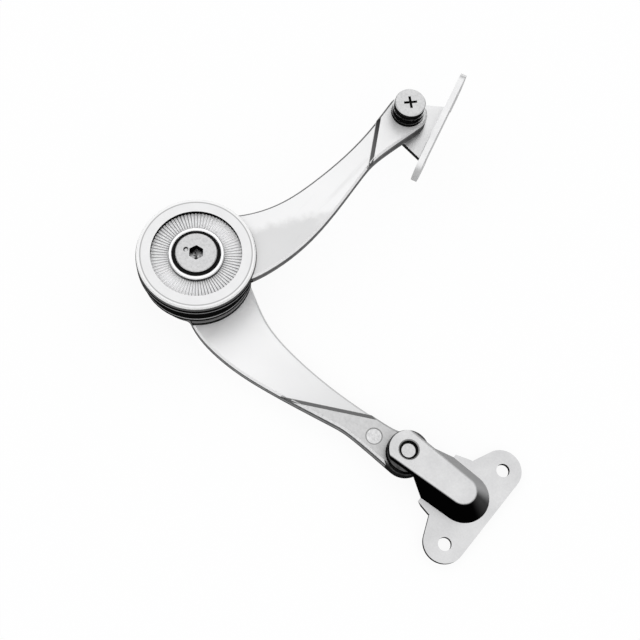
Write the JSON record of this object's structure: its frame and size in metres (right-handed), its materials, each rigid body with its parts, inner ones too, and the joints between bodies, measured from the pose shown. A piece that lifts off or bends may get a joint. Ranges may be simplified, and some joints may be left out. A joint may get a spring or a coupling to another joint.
{
  "type": "lid stay",
  "caption": "Two-arm lid stay with a round friction-brake elbow, a pressed cabinet bracket and a bent lid bracket, for holding a flap at any angle.",
  "frame": {"origin": "midway between the two cabinet screw holes, on the back face of the cabinet bracket", "axes": "+Z out of the panel along every pivot; +Y along the line of the cabinet screw holes; -X from the flange towards the bracket's nose"},
  "size_m": [0.1485, 0.1378, 0.029],
  "materials": {
    "satin_steel": "fine satin, zinc plated",
    "dark_steel": "dark oiled spring steel",
    "plated_arm": "bright plating",
    "plated_ring": "bright plating on turned rings",
    "plated_cover": "bright plating, serrated",
    "friction_lining": "pressed friction lining",
    "black_rubber": "smooth"
  },
  "bodies": {
    "cabinet_side": {"cabinet_bracket": "satin_steel", "pivot_rivet": "satin_steel", "pivot_washer_low": "dark_steel", "pivot_washer_mid": "dark_steel", "pivot_washer_top": "dark_steel"},
    "lower_link": {"lower_arm": "plated_arm", "base_nut": "satin_steel", "base_gasket": "friction_lining", "stator_ring": "plated_ring", "brake_lining": "friction_lining"},
    "upper_link": {"upper_arm": "plated_arm", "housing_ring": "plated_ring", "pressure_plate": "satin_steel", "disc_spring": "dark_steel", "spring_seat": "satin_steel", "fluted_cover": "plated_cover", "seal_ring": "black_rubber"},
    "adjuster": {"brake_adjuster": "satin_steel"},
    "lid_side": {"lid_bracket": "satin_steel", "lid_screw": "satin_steel", "lid_bush": "satin_steel", "lid_washer_base": "dark_steel", "lid_washer_a": "dark_steel", "lid_washer_b": "dark_steel", "lid_washer_c": "dark_steel", "lid_washer_d": "dark_steel"}
  },
  "joints": [
    {"name": "cabinet_pivot", "type": "hinge", "parent": "cabinet_side", "child": "lower_link", "pos_m": [-0.028, -0.00185, 0], "axis": [0, 0, 1], "range_deg": [-60, 60]},
    {"name": "elbow", "type": "hinge", "parent": "lower_link", "child": "upper_link", "pos_m": [-0.12208, 0.00017, 0], "axis": [0, 0, 1], "range_deg": [-70, 95]},
    {"name": "brake_setting", "type": "hinge", "parent": "lower_link", "child": "adjuster", "pos_m": [-0.12208, 0.00017, 0], "axis": [0, 0, 1], "range_deg": [-180, 180]},
    {"name": "lid_pivot", "type": "hinge", "parent": "upper_link", "child": "lid_side", "pos_m": [-0.10339, 0.08964, 0], "axis": [0, 0, 1], "range_deg": [-22, 140]}
  ]
}
